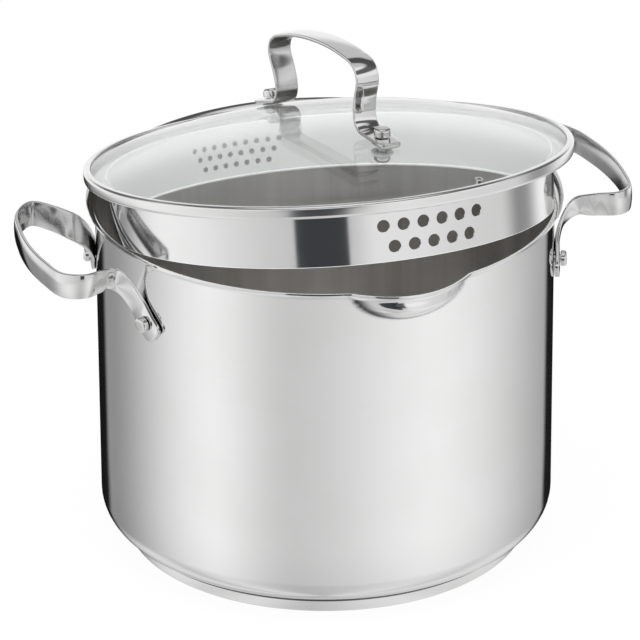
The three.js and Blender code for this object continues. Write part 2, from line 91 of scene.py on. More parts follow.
def turned(axis, degrees):
    return Matrix.Rotation(math.radians(degrees), 4, axis)


def moved(x, y, z):
    return Matrix.Translation(Vector((x, y, z)) * MM)


LID_LEAN = moved(*LID_CENTRE) @ turned("Z", LID_RAISED_TOWARDS) @ turned("Y", -LID_TILT)
LID_PLACE = LID_LEAN @ turned("Z", LID_TURN)
print("the lid's axis points to", [round(value, 3) for value in LID_LEAN.col[2][:3]])

# %% [markdown]
# ## Wires for the finishes
# A finish is a tree of nodes, which is long to write out node by node. The class below wraps one socket, so that
# sums on it can be written as plain Python, such as `1 - mask`, and each sum adds its Math node. Every other kind
# of node comes from one method, which sets the node's own settings first and then its sockets.

# %% A wire between nodes
class Wire:
    """One value in a node tree."""

    def __init__(self, tree, socket):
        self.tree = tree
        self.socket = socket

    @classmethod
    def node(cls, tree, kind, settings=None, sockets=None, out=0):
        """Add a node of any kind and return one of its outputs."""
        made = tree.nodes.new(kind)
        for name, value in (settings or {}).items():
            if name == "stops":
                stops = made.color_ramp.elements
                while len(stops) < len(value):
                    stops.new(1)
                for stop, (place, colour) in zip(stops, value):
                    stop.position, stop.color = place, colour
            else:
                setattr(made, name, value)
        for name, value in (sockets or {}).items():
            if isinstance(value, Wire):
                tree.links.new(value.socket, made.inputs[name])
            else:
                made.inputs[name].default_value = value
        return cls(tree, made.outputs[out])

    def math(self, operation, *values):
        return Wire.node(self.tree, "ShaderNodeMath", {"operation": operation}, dict(enumerate(values)))

    def __add__(self, other):
        return self.math("ADD", self, other)

    def __radd__(self, other):
        return self.math("ADD", other, self)

    def __sub__(self, other):
        return self.math("SUBTRACT", self, other)

    def __rsub__(self, other):
        return self.math("SUBTRACT", other, self)

    def __mul__(self, other):
        return self.math("MULTIPLY", self, other)

    def __rmul__(self, other):
        return self.math("MULTIPLY", other, self)

    def ease(self, start, end, first=0.0, last=1.0):
        """Go smoothly from first to last while this value goes from start to end."""
        settings = {"interpolation_type": "SMOOTHSTEP"}
        sockets = {0: self, 1: start, 2: end, 3: first, 4: last}
        return Wire.node(self.tree, "ShaderNodeMapRange", settings, sockets)

    def blend(self, first, second):
        """Mix two colours by this value."""
        settings = {"data_type": "RGBA"}
        return Wire.node(self.tree, "ShaderNodeMix", settings, {0: self, 6: first, 7: second}, out=2)


def grey(level, warm=0.0):
    """A grey, a little warmer for a positive value and cooler for a negative one."""
    return (level * (1 + warm), level, level * (1 - warm), 1)


print("wires ready")

# %% [markdown]
# ## Studio
# Polished steel has no colour of its own to show: it shows the room. A maker of cookware photographs it in a
# white tent with dark flags behind it, and the dark parts are what draws the edges of the pot. Here the world is
# that tent. It is plain white to the lens and through the glass, it gives an even light, and only mirrors see its
# parts: walls that fall off to both sides, a gap where the dark lens and its hood look in, flags behind, and a dark
# seam under the bright roof. A direction is told by its bearing, in degrees from the lens, and by its height, from
# -1 straight down to 1 straight up. The upright wall of the pot sees only heights near -0.43, so the rest of the
# tent can be set for the lid and the handles.

# %% Tell a direction in the tent
world = bpy.data.worlds.new("tent")
world.use_nodes = True
bpy.context.scene.world = world
tent = world.node_tree
tent.nodes.clear()

TO_LENS = Vector((EYE.x, EYE.y, 0)).normalized()
TENT_LIGHT = 0.8

direction = Wire.node(tent, "ShaderNodeTexCoord", out="Generated")


def along(axis):
    settings = {"operation": "DOT_PRODUCT"}
    return Wire.node(tent, "ShaderNodeVectorMath", settings, {0: direction, 1: axis}, out="Value")


towards_lens = along(TO_LENS)
sideways = along(level)
height = along((0, 0, 1))
bearing = sideways.math("ARCTAN2", sideways, towards_lens) * math.degrees(1)
off_lens = bearing.math("ABSOLUTE", bearing)
print("directions ready")


# %% Set the lower walls, which the upright wall of the pot sees, and the floor that its corner sees
def falling_off(turn):
    """How the walls fall off to both sides and in the gap where the lens looks in."""
    gap = turn.ease(-62, -16, 0, 1) * turn.ease(-18, 60, 1, 0)
    return turn.ease(-140, -56, 0.3, 1) * turn.ease(52, 158, 1, 0.4) * (1 - 0.34 * gap)


flags = off_lens.ease(144, 152, 0, 0.97) * height.ease(-0.75, -0.58, 0, 1)
under = height.ease(-0.7, -0.5, 1, 0)
folded = sideways.math("ARCTAN2", sideways, towards_lens.math("ABSOLUTE", towards_lens)) * math.degrees(1)
lower = falling_off(bearing) * (1 - flags) * (1 - under) + under * 0.88 * falling_off(folded)
low = height.ease(-0.4, -0.33, 1, 0)
print("lower walls set")

# %% Set the walls at the lid's height, with the dark lens as a card, and its hood
middle = bearing.ease(-95, -8, 1, 0.62) + bearing.ease(8, 24, 0, 0.24)
middle = middle - bearing.ease(30, 95, 0, 0.14) + bearing.ease(110, 140, 0, 0.28)
side_walls = off_lens.ease(94, 110, 0, 1) * off_lens.ease(116, 136, 1, 0) * height.ease(0.02, 0.12, 1, 0)
middle = middle - side_walls * bearing.ease(-40, 40, 0.12, 0.42)
at_lid = height.ease(0.2, 0.4, 1, 0)
walls = low * lower + (1 - low) * (1 - at_lid * (1 - middle))
off_card = (bearing + 4.5).math("ABSOLUTE", bearing + 4.5)
card = off_card.ease(12.6, 13.8, 1, 0) * height.ease(-0.3, -0.28, 0, 1) * height.ease(0.1, 0.14, 1, 0)
hood = off_card.ease(19, 23, 1, 0) * height.ease(0.06, 0.1, 0, 1) * height.ease(0.3, 0.36, 1, 0)
print("walls at the lid set")

# %% Set what the handles see, flags beside the backdrop and the roof's seam, and light the tent
side_flags = off_lens.ease(106, 122, 0, 1) * off_lens.ease(152, 164, 1, 0)
side_flags = side_flags * height.ease(0.04, 0.12, 0, 1) * height.ease(0.5, 0.64, 1, 0)
seam = height.ease(0.56, 0.66, 0, 1) * height.ease(0.84, 0.91, 1, 0)
backdrop_fall = off_lens.ease(80, 110, 0, 1) * height.ease(0.03, 0.26, 0, 0.36)
mirrored = walls * (1 - 0.91 * card) * (1 - 0.85 * hood)
mirrored = mirrored * (1 - 0.82 * side_flags) * (1 - 0.86 * seam) * (1 - backdrop_fall)
tent_colour = card.blend((1, 1, 1, 1), (0.86, 0.93, 1, 1))

ray = tent.nodes.new("ShaderNodeLightPath")
seen = Wire(tent, ray.outputs["Is Camera Ray"]) + Wire(tent, ray.outputs["Is Transmission Ray"])
in_mirror = Wire(tent, ray.outputs["Is Glossy Ray"])
plain = seen.math("MAXIMUM", seen, TENT_LIGHT)
strength = in_mirror * mirrored + (1 - in_mirror) * plain
backdrop = Wire.node(tent, "ShaderNodeBackground", None, {"Color": tent_colour, "Strength": strength})
tent_out = tent.nodes.new("ShaderNodeOutputWorld")
tent.links.new(backdrop.socket, tent_out.inputs["Surface"])
print("tent built with", len(tent.nodes), "nodes")

# %% [markdown]
# The floor is white as well. To the lens it is almost all plain white, with a little of a lit surface left in it,
# which keeps the pot's shadow. Mirrors don't see it, because the tent already says what lies below. Three soft lamps
# add the light that falls into the pot, and mirrors don't see them either: they would show as hot spots.

# %% Lay the floor
FLOOR_SIZE = 8.0
FLOOR_DROP = 0.0002
PLAIN_WHITE = 0.95

bpy.ops.object.select_all(action="DESELECT")
bpy.ops.mesh.primitive_plane_add(size=FLOOR_SIZE, location=(0, 0, -FLOOR_DROP))
floor = bpy.context.object
floor.name = "floor"
bpy.ops.object.transform_apply(location=True, rotation=True, scale=True)
floor.visible_glossy = False

floor_finish = bpy.data.materials.new("white_floor")
floor_finish.use_nodes = True
tree = floor_finish.node_tree
tree.nodes.clear()
ray = tree.nodes.new("ShaderNodeLightPath")
seen = Wire(tree, ray.outputs["Is Camera Ray"]) + Wire(tree, ray.outputs["Is Transmission Ray"])
seen = seen + Wire(tree, ray.outputs["Is Glossy Ray"])
lit = Wire.node(tree, "ShaderNodeBsdfDiffuse", None, {"Color": grey(0.97)})
white = Wire.node(tree, "ShaderNodeEmission", None, {"Color": grey(1.0), "Strength": 1.0})
both = Wire.node(tree, "ShaderNodeMixShader", None, {0: seen * PLAIN_WHITE, 1: lit, 2: white})
floor_out = tree.nodes.new("ShaderNodeOutputMaterial")
tree.links.new(both.socket, floor_out.inputs["Surface"])
floor.data.materials.append(floor_finish)
print("floor laid")

# %% Hang the lamps
# name, place, size and power in watts: a wide one overhead and a narrower one on either side
LAMPS = [
    ("overhead", (-0.2, -0.3, 1.9), 1.5, 16.0),
    ("left_side", (-1.7, -0.9, 1.0), 0.9, 5.0),
    ("right_side", (1.5, -1.5, 1.1), 0.9, 4.0),
]
for lamp_name, place, size, power in LAMPS:
    lamp = bpy.data.lights.new(lamp_name, "AREA")
    lamp.shape, lamp.size, lamp.energy = "SQUARE", size, power
    hung = bpy.data.objects.new(lamp_name, lamp)
    aim = Vector((0, 0, 0.12)) - Vector(place)
    hung.rotation_euler = aim.to_track_quat("-Z", "Y").to_euler()
    hung.location = place
    hung.visible_glossy = False
    bpy.context.scene.collection.objects.link(hung)
    print("lamp", lamp_name, power, "W")

# %% [markdown]
# ## Finishes
# The outside of the pot is polished until it mirrors, the inside is left satin by a rotating brush, and the
# handles come from polished strip. None of them is even: polishing leaves fine lines round the pot, fingers leave
# cloudy patches, and edges wear bright. Each finish mixes such marks from noise stretched along the direction in
# which the tool ran. They drive the colour, the roughness and a very small bump.

# %% Marks that the polishing leaves
def start_finish(name, lean=None):
    """A new material, its tree, its shader and its coordinates, taken about a leaning axis where one is given."""
    material = bpy.data.materials.new(name)
    material.use_nodes = True
    tree = material.node_tree
    shader = tree.nodes["Principled BSDF"]
    place = Wire.node(tree, "ShaderNodeTexCoord", out="Object")
    if lean:
        sockets = {"Vector": place, "Location": lean.translation, "Rotation": lean.to_euler()}
        place = Wire.node(tree, "ShaderNodeMapping", {"vector_type": "TEXTURE"}, sockets)
    return material, tree, shader, place


def stretched_noise(tree, place, scale, detail=2.0, roughness=0.5):
    """Noise whose grain is stretched by a scale for each axis."""
    scaled = Wire.node(tree, "ShaderNodeMapping", None, {"Vector": place, "Scale": scale})
    sockets = {"Vector": scaled, "Scale": 1.0, "Detail": detail, "Roughness": roughness}
    return Wire.node(tree, "ShaderNodeTexNoise", None, sockets)


def join_shader(tree, shader, **wires):
    """Feed the shader's sockets, named with _ for a space."""
    for name, wire in wires.items():
        socket = shader.inputs[name.replace("_", " ").title()]
        tree.links.new(wire.socket, socket)


def height_of(tree, place):
    """How high a point of the piece lies."""
    return Wire.node(tree, "ShaderNodeSeparateXYZ", None, {"Vector": place}, out="Z")


print("marks ready")

# %% Worked steel
BUMP_HEIGHT = 0.0002
JOINT_SOFTNESS = 0.0001


def steel(name, bright, dull, polished, rough, lines, line_depth, lean=None, joint_shade=None):
    """Worked steel: two tints, two roughnesses, clouds and stretched lines; a joint shade is a height and a dark
    tint, a painted shade.
    """
    material, tree, shader, place = start_finish(name, lean)
    clouds = stretched_noise(tree, place, (26, 26, 26), 3.0).ease(0.35, 0.7)
    grain = stretched_noise(tree, place, lines, 3.0, 0.6)
    tint = (clouds * 0.6 + grain * 0.4).blend(bright, dull)
    # a dark band at the joint's height: painted shade of the gap under the shell
    if joint_shade:
        above = height_of(tree, place).ease(joint_shade[0] - JOINT_SOFTNESS, joint_shade[0] + JOINT_SOFTNESS)
        tint = above.blend(tint, joint_shade[1])
    wear = (clouds * 0.5 + grain * 0.5) * (rough - polished) + polished
    sockets = {"Strength": line_depth, "Distance": BUMP_HEIGHT, "Height": grain}
    ridges = Wire.node(tree, "ShaderNodeBump", None, sockets)
    shader.inputs["Metallic"].default_value = 1.0
    join_shader(tree, shader, base_color=tint, roughness=wear, normal=ridges)
    print("finish", name)
    return material


ROUND_LINES = (8, 8, 900)
ALL_WAYS = (300, 300, 300)
ring_polish = steel("rolled_ring", grey(0.88), grey(0.83, 0.006), 0.15, 0.24, ROUND_LINES, 0.02, lean=LID_LEAN)
rivet_polish = steel("headed_rivet", grey(0.80), grey(0.70, 0.01), 0.12, 0.24, ALL_WAYS, 0.05)
JOINT_SHADE = (0.0077, grey(0.2))  # the base's chamfered top edge, a dark joint line tinted as painted shade of the gap under the shell
base_satin = steel("satin_base", grey(0.87), grey(0.80, 0.006), 0.20, 0.32, ROUND_LINES, 0.05, joint_shade=JOINT_SHADE)
core_metal = steel("rolled_aluminium", grey(0.72), grey(0.62), 0.35, 0.5, (20, 400, 400), 0.1)

# %% [markdown]
# The pot and the skirt are each one sheet with two finishes: a mirror outside and satin inside. The handle straps
# are duller on their inner face too, and that face and the edges are tinted darker as painted shade. A value kept
# on each face says how far it lies inside, and the finish reads it as an attribute. The satin side has deeper
# grooves, and streaks that run up the wall. The mirror of the pot is tinted darker towards the foot as painted
# shade, its crease round the spout is painted dark as painted shade, and its inside is painted darker towards +X
# as painted shade.

# %% Sheet steel: a mirror outside, satin inside
FINE_ROUND = (9, 9, 1000)


def sheet_steel(name, mirror_tints, satin_tints, satin_roughness, satin_metal, groove, lines=FINE_ROUND, lean=None,
                foot=None):
    """Steel whose inside, by the face's own value, is satin; its foot is a height and a tint of painted shade, and
    with it come a painted dark crease and painted shade on one side of the inside.
    """
    material, tree, shader, place = start_finish(name, lean)
    inside = Wire.node(tree, "ShaderNodeAttribute", {"attribute_name": "inside"}, out="Fac")
    clouds = stretched_noise(tree, place, (22, 22, 22), 3.0).ease(0.35, 0.7)
    grain = stretched_noise(tree, place, lines, 3.0, 0.6)
    streaks = stretched_noise(tree, place, (75, 75, 2), 3.0, 0.6).ease(0.3, 0.7)
    mirror_tint = (clouds * 0.5 + grain * 0.5).blend(*mirror_tints)
    # painted shade: the mirror is tinted darker towards the foot
    if foot:
        mirror_tint = height_of(tree, place).ease(0.008, foot[0], 1, 0).blend(mirror_tint, foot[1])
        # painted shade: the crease round the spout is painted nearly black
        crease = Wire.node(tree, "ShaderNodeAttribute", {"attribute_name": "crease"}, out="Fac")
        mirror_tint = crease.blend(mirror_tint, grey(0.06))
    satin_marks_and_shade = clouds * 0.15 + grain * 0.15 + streaks * 0.25
    # painted shade: the inside is darker towards +X, where the gap between the skirt and the wall lies in shade
    if foot:
        sideways = Wire.node(tree, "ShaderNodeSeparateXYZ", None, {"Vector": place}, out="X")
        satin_marks_and_shade = satin_marks_and_shade + sideways.ease(0.01, 0.1, 0, 0.55)
    satin_tint = satin_marks_and_shade.blend(*satin_tints)
    mirror_wear = clouds * 0.03 + grain * 0.03 + 0.055
    satin_wear = clouds * 0.06 + grain * 0.1 + satin_roughness
    grooves = grain * (0.012 + inside * groove)
    ridges = Wire.node(tree, "ShaderNodeBump", None, {"Strength": 1.0, "Distance": BUMP_HEIGHT, "Height": grooves})
    tint = inside.blend(mirror_tint, satin_tint)
    wear = mirror_wear + inside * (satin_wear - mirror_wear)
    shader.inputs["Metallic"].default_value = 1.0
    if satin_metal < 1:
        join_shader(tree, shader, metallic=1 - inside * (1 - satin_metal))
    join_shader(tree, shader, base_color=tint, roughness=wear, normal=ridges)
    print("finish", name)
    return material


print("sheet steel ready")


# %% Keep a value on each face, and make the three sheets
def mark_faces(piece, name, axis_place, value_of):
    """Keep a value on each face, by its place and normal about an axis, in millimetres."""
    to_axis = axis_place.inverted()
    kept = piece.data.attributes.new(name, "FLOAT", "FACE")
    for face in piece.data.polygons:
        middle = to_axis @ face.center
        normal = to_axis.to_3x3() @ face.normal
        radial = Vector((middle.x, middle.y, 0)).normalized()
        kept.data[face.index].value = float(value_of(middle / MM, normal, normal.dot(radial)))


# the pot's dark satin tint also takes the painted shade on one side of its inside
POT_TINTS = (grey(0.87), grey(0.83, 0.004)), (grey(0.93, 0.022), grey(0.44, 0.03))
SKIRT_TINTS = (grey(0.87), grey(0.82, 0.004)), (grey(0.97), grey(0.93))
# the strap's satin tints are darker: a painted shade on its inner face and edges
STRIP_TINTS = (grey(0.80), grey(0.73, 0.006)), (grey(0.62), grey(0.52, 0.01))
# the foot's height and tint give the pot a painted shade towards the bottom
pot_steel = sheet_steel("drawn_steel", *POT_TINTS, 0.24, 0.9, 0.2, foot=(0.048, grey(0.76)))
skirt_steel = sheet_steel("skirt_steel", *SKIRT_TINTS, 0.4, 0.04, 0.1, lean=LID_LEAN)
strip_steel = sheet_steel("polished_strip", *STRIP_TINTS, 0.12, 1.0, 0.02, lines=(160, 160, 420))

# %% [markdown]
# Glass lets nearly all light through where it is looked at straight on, and mirrors more and more towards a slant.
# So a Mix Shader goes from a clear shader to a mirror by the slant that Layer Weight gives. To soft light and to
# shadows the pane is clear, because the light that falls through the lid is what shows the inside of the pot. The
# silicone of the seals is plain and matt, with a fine grain.

# %% Glass
lid_glass, tree, shader, place = start_finish("tempered_glass")
clouds = stretched_noise(tree, place, (18, 18, 18), 3.0)
sheen = clouds.blend((0.975, 0.985, 0.98, 1), (0.995, 1.0, 0.998, 1))
shader.inputs["Metallic"].default_value = 1.0
join_shader(tree, shader, base_color=sheen, roughness=clouds.ease(0.45, 0.8, 0.0, 0.03))
clear = Wire.node(tree, "ShaderNodeBsdfTransparent", None, {"Color": (0.984, 0.99, 0.987, 1)})
slant = Wire.node(tree, "ShaderNodeLayerWeight", None, {"Blend": 0.5}, out="Facing")
ray = tree.nodes.new("ShaderNodeLightPath")
soft_light = Wire(tree, ray.outputs["Is Diffuse Ray"])
soft_light = soft_light.math("MAXIMUM", soft_light, Wire(tree, ray.outputs["Is Shadow Ray"]))
mirror_share = (0.04 + 0.96 * slant.math("POWER", slant, 4.0)) * (1 - soft_light)
sockets = {0: mirror_share, 1: clear, 2: Wire(tree, shader.outputs["BSDF"])}
pane = Wire.node(tree, "ShaderNodeMixShader", None, sockets)
tree.links.new(pane.socket, tree.nodes["Material Output"].inputs["Surface"])
print("finish", lid_glass.name)

# %% Silicone
silicone, tree, shader, place = start_finish("grey_silicone")
clouds = stretched_noise(tree, place, (120, 120, 120), 4.0)
grain = stretched_noise(tree, place, (2500, 2500, 2500), 2.0)
tint = (clouds * 0.6 + grain * 0.4).blend(grey(0.50), grey(0.62))
ridges = Wire.node(tree, "ShaderNodeBump", None, {"Strength": 0.2, "Distance": BUMP_HEIGHT, "Height": grain})
join_shader(tree, shader, base_color=tint, roughness=clouds * 0.2 + 0.5, normal=ridges)
print("finish", silicone.name)

# %% [markdown]
# ## Turning round pieces
# The shell, the base, the ring, the skirt, the glass and all the fixings are round. On a lathe, or on a spinning
# die for sheet, a single half section makes the whole piece. So one vertex is extruded from point to point along
# the section and then spun round the upright axis. The ends of the spin meet, so the doubles are merged and the
# normals are pointed outwards.

# %% Helpers for turned pieces
def arc(centre, radius, start, end, steps):
    """Points of an arc in a half section, between two angles in degrees."""
    points = []
    for step in range(steps + 1):
        turn = math.radians(start + (end - start) * step / steps)
        points.append((centre[0] + radius * math.cos(turn), centre[1] + radius * math.sin(turn)))
    return points


def only(piece):
    """Select one piece and make it the active one."""
    bpy.ops.object.select_all(action="DESELECT")
    piece.select_set(True)
    bpy.context.view_layer.objects.active = piece


def turn(name, section, *spins):
    """Extrude a vertex along a half section in millimetres and spin it round Z, by degrees and steps in turn."""
    bpy.ops.object.select_all(action="DESELECT")
    bpy.ops.mesh.primitive_plane_add(size=2 * MM)
    piece = bpy.context.object
    piece.name = piece.data.name = name
    bpy.ops.object.mode_set(mode="EDIT")
    bpy.ops.mesh.select_all(action="SELECT")
    bpy.ops.mesh.merge(type="CENTER")
    last = Vector((0, 0, 0))
    for count, (reach, tall) in enumerate(section):
        point = Vector((reach, 0, tall)) * MM
        if count == 0:
            bpy.ops.transform.translate(value=point - last)
        else:
            bpy.ops.mesh.extrude_region_move(TRANSFORM_OT_translate={"value": point - last})
        last = point
    bpy.ops.mesh.select_all(action="SELECT")
    for degrees, steps in spins:
        bpy.ops.mesh.spin(steps=steps, angle=math.radians(degrees), center=(0, 0, 0), axis=(0, 0, 1))
    bpy.ops.mesh.select_all(action="SELECT")
    bpy.ops.mesh.remove_doubles(threshold=0.002 * MM)
    bpy.ops.mesh.normals_make_consistent(inside=False)
    bpy.ops.object.mode_set(mode="OBJECT")
    return piece


def ring_section(section):
    """A section that closes on itself."""
    return section + section[:1]


def put(piece, matrix):
    """Move a piece to its place and leave the place in its mesh."""
    only(piece)
    piece.matrix_world = matrix
    bpy.ops.object.transform_apply(location=True, rotation=True, scale=True)


def drill(piece, drills):
    """Cut round holes: each drill is a matrix, a radius and a length along its own Z."""
    cutters = []
    for matrix, radius, length, sides in drills:
        bpy.ops.object.select_all(action="DESELECT")
        bpy.ops.mesh.primitive_cylinder_add(vertices=sides, radius=radius * MM, depth=length * MM)
        cutter = bpy.context.object
        put(cutter, matrix)
        cutters.append(cutter)
    only(cutters[0])
    for cutter in cutters:
        cutter.select_set(True)
    bpy.ops.object.join()
    joined = bpy.context.object
    only(piece)
    cut = piece.modifiers.new("holes", "BOOLEAN")
    cut.operation, cut.solver, cut.object = "DIFFERENCE", "EXACT", joined
    bpy.ops.object.modifier_apply(modifier=cut.name)
    bpy.data.objects.remove(joined, do_unlink=True)


def finish_piece(piece, finish, body, nodes, angle=32):
    """Smooth a piece, give it its finish and say where it belongs."""
    only(piece)
    bpy.ops.object.shade_smooth_by_angle(angle=math.radians(angle))
    piece.data.materials.clear()
    piece.data.materials.append(finish)
    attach(piece, body)
    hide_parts(*nodes)
    print(piece.name, "has", len(piece.data.polygons), "faces")


print("lathe ready")

# %% [markdown]
# ## Shell of the pot
# The shell is drawn from one disc of sheet. Its bottom corner is rounded, and its top edge is bent outwards into a
# lip that drips cleanly. The half section runs up the outer face, round the lip's edge and down the inner face, so
# the spin gives the sheet its real thickness. Rows lie closely below the lip, and columns lie closely at the front,
# where the spout will be pressed: the shell is spun most of the way in wide steps and the rest in fine ones.

# %% Turn the shell
POT_RADIUS = 121.2
SHEET = 0.8
RIM = 192.8
CORNER = 15.0
BASE_TOP = 8.6
LIP_BEND = 5.0
LIP_ANGLE = 80.0
LIP_EDGE = 0.8
SPOUT_TURN, SPOUT_DEPTH = -88.4, 19.0
FINE_ARC = 40


def sheet_face(inward):
    """The outer face of the sheet, or the inner one for a sheet's thickness inward."""
    radius = POT_RADIUS - inward
    bend_start = RIM - (LIP_BEND + SHEET / 2) * math.sin(math.radians(LIP_ANGLE))
    lip_centre = (POT_RADIUS + LIP_BEND - SHEET / 2, bend_start)
    face = [(0, BASE_TOP + inward), (60, BASE_TOP + inward)]
    face += arc((POT_RADIUS - CORNER, BASE_TOP + CORNER), CORNER - inward, -90, 0, 12)
    face += [(radius, tall) for tall in (60, 100, 140, 165, 170)]
    rows = 22
    face += [(radius, 172 + (bend_start - 0.5 - 172) * row / rows) for row in range(rows + 1)]
    face += arc(lip_centre, LIP_BEND - SHEET / 2 + inward, 180, 180 - LIP_ANGLE, 10)
    edge = math.radians(90 - LIP_ANGLE)
    face.append((face[-1][0] + LIP_EDGE * math.cos(edge), face[-1][1] + LIP_EDGE * math.sin(edge)))
    return face


shell = turn("drawn_shell", sheet_face(0) + sheet_face(SHEET)[::-1], (360 - FINE_ARC, 320), (FINE_ARC, 120))
put(shell, turned("Z", SPOUT_TURN + FINE_ARC / 2))
print("shell turned with", len(shell.data.vertices), "vertices")

# %% [markdown]
# ## Pouring spout
# A punch presses the lip outwards into a shallow scoop at the front. On a mesh, a Displace modifier does the work
# of the punch: it moves the vertices outwards by a weight that falls away sideways and downwards, and a little
# towards the lip, which stays narrower as a neck. Both faces of the sheet have the same weight, so the sheet keeps
# its thickness. The crease round the scoop is painted dark, a painted shade, so how near it lies is kept on each
# vertex for the finish.

# %% Press the spout
SPOUT_DIRECTION = math.radians(SPOUT_TURN)
SPOUT_HALF_ANGLE = math.radians(15.3)
SPOUT_REACH = 16.7
SPOUT_SOFTNESS = 0.03
NECK_SHARE = 0.6


def smooth(start, end, value):
    """Go smoothly from 0 to 1 while a value goes from start to end."""
    share = min(max((value - start) / (end - start), 0.0), 1.0)
    return share * share * (3 - 2 * share)


def scoop_share(point):
    """How far a point lies to the side of the spout and down it, and how far inside the scoop's edge."""
    away = math.atan2(point.y, point.x) - SPOUT_DIRECTION
    sideways = math.atan2(math.sin(away), math.cos(away)) / SPOUT_HALF_ANGLE
    down = (RIM * MM - point.z) / (SPOUT_DEPTH * MM)
    return sideways, down, 1 - sideways ** 2 - down ** 2


def spout_share(point):
    """How much of the punch's travel reaches a point of the shell: less at the neck under the lip."""
    _, down, full = scoop_share(point)
    scoop = (full + math.sqrt(full * full + SPOUT_SOFTNESS ** 2)) / 2
    return scoop * (NECK_SHARE + (1 - NECK_SHARE) * smooth(0.2, 0.65, down))


pressed = shell.vertex_groups.new(name="spout")
for vertex in shell.data.vertices:
    if vertex.co.z > (RIM - 1.3 * SPOUT_DEPTH) * MM:
        share = spout_share(vertex.co)
        if share > 0.004:
            pressed.add([vertex.index], min(1.0, share), "REPLACE")
only(shell)
for axis, part in (("X", math.cos(SPOUT_DIRECTION)), ("Y", math.sin(SPOUT_DIRECTION))):
    punch = shell.modifiers.new("punch_" + axis, "DISPLACE")
    punch.direction, punch.vertex_group = axis, "spout"
    punch.mid_level, punch.strength = 0.0, SPOUT_REACH * part * MM
    bpy.ops.object.modifier_apply(modifier=punch.name)
shell.vertex_groups.clear()
print("spout pressed")

# %% Drill the rivet holes
STRAP_THICKNESS, STRAP_EDGE = 3.0, 0.7
SEAT_GAP = 0.3
FOOT_SEAT = POT_RADIUS + SEAT_GAP + STRAP_THICKNESS / 2
RIVET_ALONG, RIVET_DROP = 46.5, 36.8
RIVET_TURN = math.degrees(RIVET_ALONG / FOOT_SEAT)
RIVET_HOLE = 2.6


def rivet_place(side, end):
    """The wall's outer face at a rivet, with Z pointing out of the pot."""
    return turned("Z", side + end * RIVET_TURN) @ moved(POT_RADIUS, 0, RIM - RIVET_DROP) @ turned("Y", 90)


RIVETS = [("right_front", 0, -1), ("right_rear", 0, 1), ("left_front", 180, 1), ("left_rear", 180, -1)]
drill(shell, [(rivet_place(side, end), RIVET_HOLE, 6, 24) for _, side, end in RIVETS])
print(len(RIVETS), "rivet holes drilled")

# %% Mark the inside and the painted shade of the crease, and finish the shell
MOUTH = 188.0


def in_the_pot(middle, normal, outward):
    """The inner face of the wall, up to the lip's bend, and the top of the bottom."""
    return middle.z < MOUTH and (outward < -0.05 or (normal.z > 0.7 and middle.z < 12))


def crease_shade_at(point):
    """How near a point is to the edge of the scoop, which is painted dark there as painted shade: most at its left.
    """
    sideways, _, full = scoop_share(point)
    width = 0.3 + 0.2 * (1 - smooth(-0.6, -0.15, sideways))
    edge = smooth(-0.06, 0.06, full) * (1 - smooth(0.1, width, full))
    return edge * (1 - 0.6 * smooth(-0.4, 0.4, sideways)) if point.z < MOUTH * MM else 0


mark_faces(shell, "inside", Matrix(), in_the_pot)
# the crease round the spout is painted dark: a painted shade
crease = shell.data.attributes.new("crease", "FLOAT", "POINT")
for vertex in shell.data.vertices:
    crease.data[vertex.index].value = crease_shade_at(vertex.co)
finish_piece(shell, pot_steel, "pot", ["pot_shell"])

# %% [markdown]
# ## Base
# Under the shell sits a thick sandwich base: an aluminium core that spreads the heat, closed in by a thin steel
# cap. Only the cap shows, as a band that tapers to a rounded foot. It is turned like the shell, as a thin cup with
# a flat underside. A small chamfer at its top is tinted dark, a painted shade of the joint line under the shell.

# %% Turn the base cap
CAP_RADIUS = POT_RADIUS - 11
CAP_TAPER, CAP_SHEET = 2.4, 0.8
CAP_ROUNDING = 2 * CAP_SHEET
CHAMFER_TALL, CHAMFER_DEEP = 0.6, 0.55
foot = CAP_RADIUS - CAP_TAPER
cap_top = BASE_TOP - SEAT_GAP
cap_centre = (foot - CAP_ROUNDING, CAP_ROUNDING)
cap_section = [(0, 0), (60, 0)] + arc(cap_centre, CAP_ROUNDING, -90, 0, 8)
cap_section += [(CAP_RADIUS, cap_top - CHAMFER_TALL), (CAP_RADIUS - CHAMFER_DEEP, cap_top)]
cap_section += [(CAP_RADIUS - CAP_SHEET, cap_top)]
cap_section += arc(cap_centre, CAP_ROUNDING - CAP_SHEET, 0, -90, 6) + [(60, CAP_SHEET), (0, CAP_SHEET)]
base = turn("capped_base", cap_section, (360, 360))
finish_piece(base, base_satin, "pot", ["base_cap"])

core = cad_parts["base_core"]
core.data.materials.clear()
core.data.materials.append(core_metal)
print("core keeps its CAD solid, with", len(core.data.polygons), "faces")

# %% [markdown]
# ## Straps
# All three handles are bent from polished steel strap. Its faces are slightly crowned, so that it sits well in the
# hand, which also makes its reflections run out towards the edges. A strap is easiest to make straight: a long
# thin grid gets its thickness from Solidify, is crowned and gets its rounded edges from Bevel. Then it is bent
# along a path, as the maker bends it round a former: each vertex keeps its distance along, across and through the
# strap. The path runs smoothly through a few stations, and each one also says how the strap's upper edge leans.
# While it is straight, it is also easy to tell its inner face and its edges, so that is kept on the faces for the
# finish, which makes them duller and darker as painted shade.

